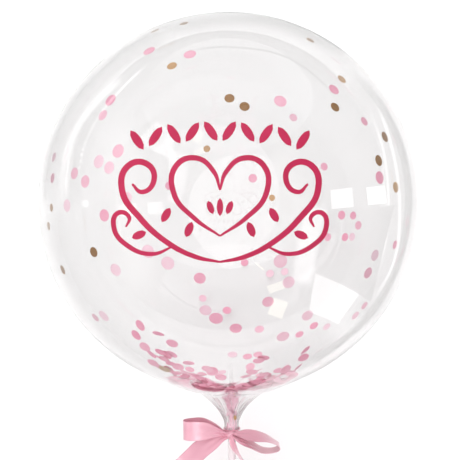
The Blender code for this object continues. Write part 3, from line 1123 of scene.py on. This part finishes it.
@dataclass
class RibbonBow:
    """The satin ribbon: a band round the neck, a knot, two loops and two tails."""

    width: float = 0.025
    gathered: float = 0.0065
    thickness: float = 0.0004
    floor_gap: float = 0.0005
    loop_reach: float = 0.0625
    loop_depth: float = 0.019
    right_share: float = 1.07
    knot: tuple[float, float, float] = (0.0125, 0.0085, 0.0085)
    knot_sink: float = 0.0014
    knot_side: float = -0.0022
    knot_rise: float = 0.0005
    knot_tilt: float = math.radians(24)
    foot_apart: float = 0.0015
    band_thickness: float = 0.0015
    band_lip: float = 0.002
    tail_slant: float = 0.009
    twist_share: float = 0.4
    steps: int = 9
    columns: int = 14
    folds: float = 2.5
    fold_depth: float = 0.0011
    length: float = 1.0

    @property
    def knot_foot(self) -> float:
        """How far to the side of the knot's middle the loops start."""
        return self.knot[0] / 6

    @property
    def knot_centre(self) -> Vector:
        """The middle of the knot, in front of the band."""
        front = PLAN.tie_radius + PLAN.fit_gap + self.band_thickness + self.knot[1] / 2
        return Vector((self.knot_side, self.knot_sink - front, PLAN.tie_z + self.knot_rise))

    def at(
        self, x: float, y: float, z: float, across: Sequence[float], share: float = 1.0
    ) -> Station:
        """A station given from the knot's centre, spread out by a share from gathered to full."""
        width = blend(self.gathered, self.width, share)
        return Station(self.knot_centre + Vector((x, y, z)), Vector(across).normalized(), width)

    def stretch(
        self, reach: float, path: Sequence[tuple], across: Sequence[float] | None = None
    ) -> list[Station]:
        """Stations of a loop or a tail.

        Args:
            reach: How far to one side an x of 1 lies.
            path: Each station's x, y and z as shares of the reach, the loops' depth and the
                ribbon's width, how far it is spread and, where they differ, the way across it.
            across: The way across all of them.

        Returns:
            The stations in the same order.
        """
        return [
            self.at(x * reach, y * self.loop_depth, z * self.width, *(own or [across]), share)
            for x, y, z, share, *own in path
        ]

    def left_loop(self) -> list[Station]:
        """On edge: out in front, round its end and back behind."""
        path = (
            (0.13, -0.18, 0.04, 0.06), (0.31, -0.38, 0.18, 0.42), (0.5, -0.6, 0.29, 0.88),
            (0.7, -0.7, 0.32, 1), (0.89, -0.64, 0.32, 1), (0.99, -0.3, 0.32, 1),
            (0.97, 0.04, 0.33, 1), (0.83, 0.27, 0.34, 1), (0.6, 0.33, 0.34, 1),
            (0.36, 0.22, 0.24, 0.55), (0.17, 0.11, 0.08, 0.12),
        )
        front, back = (
            self.at(-self.knot_foot, y, 0, UPRIGHT, 0) for y in (-self.foot_apart, self.foot_apart)
        )
        return [front, *self.stretch(-self.loop_reach, path, UPRIGHT), back]

    def right_loop(self) -> list[Station]:
        """Flatter: out along the top, round its tip and back underneath."""
        tilted = (0, -0.9, -0.44)
        level = (0, -1, 0)
        path = (
            (0.13, -0.05, 0.04, 0.2, tilted), (0.3, -0.1, 0.0, 0.75, tilted),
            (0.52, -0.16, -0.09, 1, (0, -0.94, -0.34)), (0.72, -0.16, -0.2, 1, (0, -0.99, -0.16)),
            (0.88, -0.16, -0.4, 1, level), (0.98, -0.16, -0.6, 1, level),
            (0.95, -0.16, -0.76, 1, level), (0.82, -0.16, -0.86, 1, level),
            (0.62, -0.16, -0.82, 1, (0, -1, -0.08)), (0.4, -0.1, -0.53, 0.8, (0, -0.97, -0.23)),
            (0.18, -0.05, -0.28, 0.25, tilted),
        )
        top = self.at(self.knot_foot, 0, 0.8 * self.foot_apart, tilted, 0)
        bottom = self.at(self.knot_foot, 0, -1.5 * self.foot_apart, level, 0)
        return [top, *self.stretch(self.loop_reach * self.right_share, path), bottom]

    def falling(
        self, shoulder: Station, heading: Pair, path: Sequence[Pixel]
    ) -> list[Station]:
        """The rest of a tail, down from the bow to the floor and along it, turning flat.

        Args:
            shoulder: The last station in the bow.
            heading: The way that the tail goes over the floor.
            path: For each station the way gone and the height left, as shares of the fall.

        Returns:
            The stations after the shoulder.
        """
        floor = self.thickness / 2 + self.floor_gap
        start = PLAN.lying @ shoulder.centre
        fall = start.z - floor
        ahead = Vector((*heading, 0)).normalized()
        back = PLAN.lying.inverted()
        flat = back.to_3x3() @ Vector((heading[1], -heading[0], 0)).normalized()
        flat *= math.copysign(1, flat.dot(shoulder.across))
        made = []
        for gone, left in path:
            point = start + ahead * (gone * fall)
            point.z = floor + left * fall
            across = shoulder.across.slerp(flat, smooth_step(gone / self.twist_share))
            made.append(Station(back @ point, across, self.width))
        return made

    def left_tail(self) -> list[Station]:
        """Flat, down to the left, and over to the floor."""
        slanted = (-0.62, 0, 0.78)
        path = (
            (0.16, 0.22, -0.19, 0.25), (0.36, 0.05, -0.38, 0.75), (0.62, -0.4, -0.68, 1),
            (0.82, -0.85, -1.05, 1), (1.02, -1.05, -1.49, 1),
        )
        bow = [self.at(-self.knot[0] / 12, 0, -0.08 * self.width, slanted, 0)]
        bow += self.stretch(-self.loop_reach, path, slanted)
        fall = (
            (0.13, 0.93), (0.25, 0.8), (0.33, 0.62), (0.37, 0.42),
            (0.42, 0.21), (0.52, 0.055), (0.68, 0.0), (0.86, 0.0),
        )
        return bow + self.falling(bow[-1], (-0.74, -0.67), fall)

    def right_tail(self) -> list[Station]:
        """On edge in front of the tube, then turning flat and over to the floor."""
        turned_a_little = (0.46, -0.89, 0)
        on_edge = (0.34, -0.94, 0)
        path = (
            (0.035, -0.38, 0.25, turned_a_little), (0.088, -0.66, 0.7, turned_a_little),
            (0.163, -0.98, 1, on_edge), (0.248, -1.3, 1, on_edge), (0.328, -1.64, 1, on_edge),
        )
        clear = PLAN.tie_radius + 5 * PLAN.fit_gap + self.knot_centre.y
        bow = [self.at(self.knot[0] / 15, 0, -0.09 * self.width, turned_a_little, 0)]
        for x, z, share, way in path:
            half = blend(self.gathered, self.width, share) / 2
            bow.append(self.at(x * self.loop_reach, -half - clear, z * self.width, way, share))
        fall = (
            (0.14, 0.985), (0.27, 0.93), (0.38, 0.81), (0.45, 0.62), (0.48, 0.4),
            (0.52, 0.19), (0.61, 0.05), (0.76, 0.0), (0.93, 0.0),
        )
        return bow + self.falling(bow[-1], (0.5, -0.86), fall)

    def smoothed(self, route: list[Station]) -> list[Station]:
        """The route read many times more often, from a smooth curve through its stations."""
        ends = [route[0], *route, route[-1]]
        made = []
        for around in zip(ends, ends[1:], ends[2:], ends[3:]):
            centres = [station.centre for station in around]
            ways = [station.across for station in around]
            widths = [station.width for station in around]
            for step in range(self.steps):
                centre, across, width = (
                    catmull(*values, step / self.steps) for values in (centres, ways, widths)
                )
                made.append(Station(self.above_floor(centre), across.normalized(), width))
        return [*made, route[-1]]

    def above_floor(self, centre: Vector) -> Vector:
        """The same point, lifted to lie on the floor where the curve dips below it."""
        place = PLAN.lying @ centre
        place.z = max(place.z, self.thickness / 2 + self.floor_gap)
        return PLAN.lying.inverted() @ place

    def strip(self, route: list[Station], phase: float, slant: float = 0.0) -> bpy.types.Object:
        """One stretch of ribbon: a grid laid along its route, folded where it is gathered.

        Args:
            route: Its stations.
            phase: Where its folds start.
            slant: How far its cut end leans.

        Returns:
            The stretch, with its map in metres and its thickness.
        """
        stations = self.smoothed(route)
        last = len(stations) - 1
        gone = [0.0]
        for one, other in zip(stations, stations[1:]):
            gone.append(gone[-1] + (other.centre - one.centre).length)
        piece = new_grid(self.columns, last, "ribbon_map")

        def row_of(point: Vector) -> int:
            return round((point.y + 0.5) * last)

        for loop, spot in zip(piece.data.loops, piece.data.uv_layers[0].data):
            point = piece.data.vertices[loop.vertex_index].co
            spot.uv = (gone[row_of(point)], (point.x + 0.5) * self.width)

        def place(point: Vector) -> Vector:
            row = row_of(point)
            station = stations[row]
            ahead = stations[min(row + 1, last)].centre
            along = (ahead - stations[max(row - 1, 0)].centre).normalized()
            across = (station.across - along * station.across.dot(along)).normalized()
            up = along.cross(across)
            spread = (station.width - self.gathered) / (self.width - self.gathered)
            creased = (1 - min(max(spread, 0), 1)) ** 0.6
            wave = math.sin(2 * math.pi * self.folds * point.x + phase + 3 * spread)
            offset = self.fold_depth * creased * wave
            near_end = max(0.0, 1 - (last - row) / self.steps)
            lean = near_end * slant * point.x
            return station.centre + across * (station.width * point.x) + up * offset + along * lean

        reshape(piece, place)
        finish_with(piece, "SOLIDIFY", thickness=self.thickness, offset=0.0)
        return piece

    def make_knot(self) -> bpy.types.Object:
        """The knot: a pad of ribbon whose folds run over it on the slant."""
        piece = new_piece("uv_sphere", segments=48, ring_count=28, radius=1)
        ribbon_map = piece.data.uv_layers[0]
        ribbon_map.name = "ribbon_map"
        for spot in ribbon_map.data:
            spot.uv = (spot.uv[0] * 4 * self.knot[0], spot.uv[1] * self.width)
        half = Vector(self.knot) / 2

        def place(point: Vector) -> Vector:
            turn = math.atan2(point.z, point.y)
            crease = 0.5 + 0.5 * math.cos(5 * turn + 2.6 * point.x)
            waist = 1 - 0.12 * math.exp(-((point.x / 0.35) ** 2))
            fullness = (1 - 0.2 * crease**3) * waist
            return half * Vector((point.x, point.y * fullness, point.z * fullness))

        reshape(piece, place)
        tilt = Matrix.Rotation(-self.knot_tilt, 4, "Y")
        piece.data.transform(Matrix.Translation(self.knot_centre) @ tilt)
        return piece

    def make_band(self) -> bpy.types.Object:
        """The turn round the neck, creased lengthwise where the ribbon is pulled tight."""
        piece = new_grid(96, 16, "ribbon_map")
        middle = PLAN.tie_radius + PLAN.fit_gap + self.band_thickness / 2
        for spot in piece.data.uv_layers[0].data:
            spot.uv = (spot.uv[0] * 2 * math.pi * middle, spot.uv[1] * self.width)
        half_height = PLAN.band_height / 2 - PLAN.fit_gap

        def place(point: Vector) -> Vector:
            angle = 2 * math.pi * point.x
            rise = 2 * point.y
            crease = 0.5 + 0.5 * math.cos(9 * rise + 0.8 * math.sin(angle))
            rounded = 1 - 0.4 * rise**4
            radius = middle + self.band_thickness * (0.35 * rounded - 0.3 * crease)
            height = half_height * rise + max(rise, 0.0) * self.band_lip
            over = (height - half_height + PLAN.neck_shoulder / 2) / PLAN.neck_shoulder
            radius += PLAN.neck_swell * smooth_step(over)
            height += PLAN.tie_z
            return Vector((radius * math.sin(angle), -radius * math.cos(angle), height))

        reshape(piece, place)
        on_all(piece, bpy.ops.mesh.remove_doubles, threshold=WELD)
        finish_with(piece, "SOLIDIFY", thickness=self.thickness, offset=0.0)
        return piece

    def build(self, material: bpy.types.Material) -> bpy.types.Object:
        bow = joined(
            [
                self.make_band(),
                self.make_knot(),
                self.strip(self.left_loop(), 0.4),
                self.strip(self.right_loop(), 1.9),
                self.strip(self.left_tail(), 0.9, self.tail_slant),
                self.strip(self.right_tail(), 2.6, -self.tail_slant),
            ]
        )
        on_all(bow, bpy.ops.mesh.normals_make_consistent, inside=False)
        lay_down(bow, "satin_ribbon", "pink_satin", material, "ribbon_bow")
        return bow


def catmull(before: object, start: object, end: object, after: object, share: float) -> object:
    """A value on a smooth curve between start and end; numbers or vectors."""
    slope = (end - before) / 2
    bend = before - 2.5 * start + 2 * end - after / 2
    twist = (after - before) / 2 + 1.5 * (start - end)
    return start + share * (slope + share * (bend + share * twist))


@dataclass(frozen=True)
class Card:
    """A bright or dark card beside the balloon that shows only as a reflection in the film.

    It stands where the film's front mirrors it along a path of the photograph's pixels, and its
    edges fade over a share of its width and of its length.
    """

    name: str
    path: tuple[Pixel, ...]
    width: float
    value: float
    distance: float = 0.8
    fade: Pair = (0.8, 0.4)
    widening: float = 1.0
    tint: Colour = (1.0, 1.0, 1.0)
    steps: int = 6
    columns: int = 8

    def finish(self) -> bpy.types.Material:
        """An even glow of its value, clear towards its edges and where no film mirrors it."""
        graph = Graph(self.name)
        own = graph.node("SeparateXYZ", graph.node("UVMap", uv_map="card_map"))
        shares = []
        for axis, fade in zip("XY", self.fade):
            inwards = graph.math("PINGPONG", own.outputs[axis], 0.5)
            edge = graph.node("MapRange", inwards, 0.0, max(fade / 2, 0.001))
            edge.interpolation_type = "SMOOTHSTEP"
            shares.append(edge)
        depth = graph.node("LightPath").outputs["Glossy Depth"]
        seen = graph.math(
            "MULTIPLY", graph.math("GREATER_THAN", depth, 0.5), graph.math("MULTIPLY", *shares)
        )
        glow = graph.node("Emission", Color=(*self.tint, 1), Strength=self.value)
        return graph.show(graph.node("MixShader", seen, graph.node("BsdfTransparent"), glow))

    def middle_line(self) -> list[Vector]:
        """The path's pixels read often, from a smooth curve through them."""
        knots = [Vector(pixel) for pixel in self.path]
        ends = [2 * knots[0] - knots[1], *knots, 2 * knots[-1] - knots[-2]]
        made = []
        for around in zip(ends, ends[1:], ends[2:], ends[3:]):
            made += [catmull(*around, step / self.steps) for step in range(self.steps)]
        return [*made, knots[-1]]

    def make(self) -> None:
        """The card: a grid laid along its path, out where the film mirrors it."""
        line = self.middle_line()
        last = len(line) - 1
        card = new_grid(self.columns, last, "card_map")
        card.name = self.name

        def place(point: Vector) -> Vector:
            row = round((point.y + 0.5) * last)
            along = (line[min(row + 1, last)] - line[max(row - 1, 0)]).normalized()
            width = self.width * blend(1.0, self.widening, row / last)
            pixel = line[row] + Vector((-along.y, along.x)) * (point.x * width)
            return PLAN.lying @ VIEW.mirrored(tuple(pixel), self.distance)

        reshape(card, place)
        card.data.materials.append(self.finish())
        card.visible_camera = card.visible_diffuse = card.visible_shadow = False
        card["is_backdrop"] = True


def around(*spots: Pixel) -> tuple[Pixel, ...]:
    """Pixels given by their angle, clockwise from the right, and their distance from the middle."""
    x, y = VIEW.bubble
    turns = [(math.radians(angle), radius) for angle, radius in spots]
    return tuple(
        (x + radius * math.cos(turn), y + radius * math.sin(turn)) for turn, radius in turns
    )


CREAM: Colour = (1.0, 0.97, 0.76)
CARDS: tuple[Card, ...] = (
    Card("inner_shade", around((116, 148), (150, 144), (172, 142), (200, 141), (230, 140),
                               (260, 142), (300, 144)), 38, 0.6, 0.9, (1.0, 0.2)),
    Card("left_window", ((126, 98), (126, 170), (134, 250), (160, 320)), 78, 1.7, fade=(1.0, 0.6),
         tint=(1.0, 0.985, 0.96)),
    Card("left_rim", around((252, 180), (235, 179), (215, 179), (195, 179), (176, 179)), 20, 0.7,
         0.7, (0.5, 0.3)),
    Card("low_rim", around((188, 163), (165, 163), (145, 163), (125, 166), (100, 176)), 50, 0.65,
         0.7, (0.6, 0.3)),
    Card("low_right_rim", around((82, 168), (65, 166), (48, 166)), 42, 0.6, 0.7, (0.6, 0.5)),
    Card("left_bar", ((172, 148), (172, 188)), 9, 2.4, fade=(0.3, 0.2)),
    Card("left_pane", ((85, 200), (85, 208)), 8, 3.0, fade=(0.3, 0.3)),
    Card("left_band", around((232, 164), (218, 166), (204, 169), (190, 170)), 10, 1.6, 0.5),
    Card("left_line", ((128, 70), (97, 102), (76, 135), (67, 175), (69, 225), (90, 282)), 4, 1.5),
    Card("left_inner_line", ((150, 62), (127, 83), (100, 114), (84, 145), (77, 185)), 4, 1.8),
    Card("left_flag", ((112, 92), (89, 122), (77, 155), (74, 195), (79, 240)), 15, 0.3),
    Card("top_arc", ((180, 52), (225, 47), (279, 54), (319, 79), (346, 115)), 3, 0.0),
    Card(
        "top_band", ((120, 55), (165, 32), (228, 21), (285, 27), (335, 52), (372, 88)),
        26, 0.68, 0.4, (1.0, 0.6),
    ),
    Card("right_rim", around((-52, 172), (-30, 172), (0, 172), (30, 172), (46, 172)), 36, 0.7,
         0.85, (0.6, 0.3)),
    Card("right_line", around((-36, 171), (-18, 163), (2, 160), (21, 162), (43, 161)), 5, 1.6),
    Card("right_band", around((-38, 182), (-20, 173), (0, 171), (20, 176), (38, 175)), 6, 1.5, 0.5),
    Card(
        "right_flag",
        around((-48, 181), (-31, 181), (-16, 181), (0, 180), (17, 180), (30, 180), (41, 180),
               (50, 179), (60, 179), (70, 179)),
        9, 0.45, 0.4, (0.7, 0.3),
    ),
    Card("window_left", ((331, 199.5), (353.5, 197.5)), 20, 3.0, fade=(0.05, 0.05)),
    Card("window_right", ((367, 196.5), (386, 194.5)), 18, 3.0, fade=(0.05, 0.05)),
    Card("window_sill", ((321, 239), (383, 254)), 58, 0.22, fade=(0.06, 0.04), widening=1.75),
    Card("low_window", ((338.5, 281.5), (323, 319)), 52, 2.6, fade=(0.08, 0.1), widening=0.62),
    Card("low_pane", ((317, 203), (309, 240), (300, 288)), 30, 2.4, fade=(0.6, 0.2)),
    Card("lamp_shade", ((267, 290), (284, 284)), 9, 2.6, fade=(0.2, 0.2), tint=CREAM),
    Card("lamp_foot", ((274, 318), (281, 299)), 17, 2.6, fade=(0.2, 0.2), tint=CREAM),
    Card("lamp_glint", ((254, 262), (265, 271)), 2, 2.6, fade=(0.5, 0.5), tint=CREAM),
)


@dataclass(frozen=True)
class Studio:
    """A plain pale floor, an even white room and a soft key light."""

    floor_size: float = 8.0
    floor_gap: float = 0.0002
    floor_white: float = 0.88
    room: float = 0.45
    key_strength: float = 2.1
    key_softness: float = math.radians(80)
    key_turn: tuple[float, float, float] = (math.radians(16), math.radians(-12), 0)
    fill_strength: float = 1.2
    fill_turn: tuple[float, float, float] = (math.radians(-48), 0, 0)
    ribbon_light: float = 0.42
    ribbon_light_size: Pair = (0.12, 0.3)
    ribbon_light_eye: tuple[float, float, float] = (0.0, -0.9, -0.56)
    cards: tuple[Card, ...] = CARDS

    def floor_finish(self, mottle: bpy.types.NodeTree) -> bpy.types.Material:
        """Matt white board."""
        graph = Graph("floor_board")
        pale = (self.floor_white * 0.995, self.floor_white)
        place = graph.object_place()
        cloud = graph.mottled(mottle, place, scale=3.0, detail=2.0, between=pale)
        board = graph.node(
            "BsdfPrincipled", Base_Color=cloud, Roughness=1.0, Specular_IOR_Level=0.0
        )
        return graph.show(board)

    def build(self, mottle: bpy.types.NodeTree) -> None:
        """Set up the floor, the room's light, the key light and the reflection cards."""
        floor = new_piece("plane", size=self.floor_size, location=(0, 0, -self.floor_gap))
        floor.name = "floor"
        floor.data.materials.append(self.floor_finish(mottle))
        floor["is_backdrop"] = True
        world = bpy.data.worlds.new("room")
        bpy.context.scene.world = world
        world.use_nodes = True
        air = world.node_tree.nodes["Background"].inputs
        air["Color"].default_value = (1, 1, 1, 1)
        air["Strength"].default_value = self.room
        self.soft_sun("key", self.key_strength, self.key_turn)
        self.soft_sun("fill", self.fill_strength, self.fill_turn)
        for card in self.cards:
            card.make()

    def soft_sun(self, name: str, strength: float, turn: tuple[float, float, float]) -> None:
        """An even, soft light from one side that leaves no glint in the film."""
        data = bpy.data.lights.new(name, "SUN")
        data.energy = strength
        data.angle = self.key_softness
        lamp = bpy.data.objects.new(name, data)
        lamp.rotation_euler = turn
        lamp.visible_glossy = False
        bpy.context.scene.collection.objects.link(lamp)

    def light_ribbon(self, ribbon: bpy.types.Object) -> None:
        """A soft box next to the camera, flagged off all but the ribbon."""
        data = bpy.data.lights.new("ribbon_light", "AREA")
        data.shape = "RECTANGLE"
        data.size, data.size_y = self.ribbon_light_size
        data.energy = self.ribbon_light * math.pi
        lamp = bpy.data.objects.new("ribbon_light", data)
        place = PLAN.lying @ Vector(self.ribbon_light_eye)
        aim = PLAN.lying @ Vector((0, 0, PLAN.tie_z)) - place
        turn = aim.to_track_quat("-Z", "Y").to_matrix().to_4x4()
        lamp.matrix_world = Matrix.Translation(place) @ turn
        bpy.context.scene.collection.objects.link(lamp)
        only = bpy.data.collections.new("ribbon_only")
        only.objects.link(ribbon)
        lamp.light_linking.receiver_collection = only

    def light_paths(self) -> None:
        """Let light through the film's many layers, and stop noise from doubled caustics."""
        cycles = bpy.context.scene.cycles
        cycles.max_bounces = 24
        cycles.transmission_bounces = 24
        cycles.glossy_bounces = 10
        cycles.transparent_max_bounces = 48
        cycles.caustics_refractive = False
        cycles.caustics_reflective = False
        bpy.context.scene.view_settings.view_transform = "Standard"


def write_sizes() -> None:
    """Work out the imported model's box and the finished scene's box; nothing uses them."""
    boxes = {"cad": CAD_BOX, "visual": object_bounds()}
    plain = {name: [list(corner) for corner in box] for name, box in boxes.items()}


def main() -> None:
    """Build the balloon's pieces, the studio and the camera."""
    logging.basicConfig(level=logging.INFO, format="%(message)s")
    mottle = mottle_group()
    VIEW.make_camera()
    FilmBubble().build(FILM.make(mottle))
    ClearTube().build(TUBE.make(mottle))
    ribbon = RibbonBow().build(Satin().make(mottle))
    confetti_finishes = (TISSUE.make(mottle), FOIL.make(mottle))
    FilmConfetti().build(*confetti_finishes)
    NeckConfetti().build(*confetti_finishes)
    FilmPrint().build(PrintInk().make(mottle))
    studio = Studio()
    studio.build(mottle)
    studio.light_ribbon(ribbon)
    studio.light_paths()
    write_sizes()


if __name__ == "__main__":
    main()
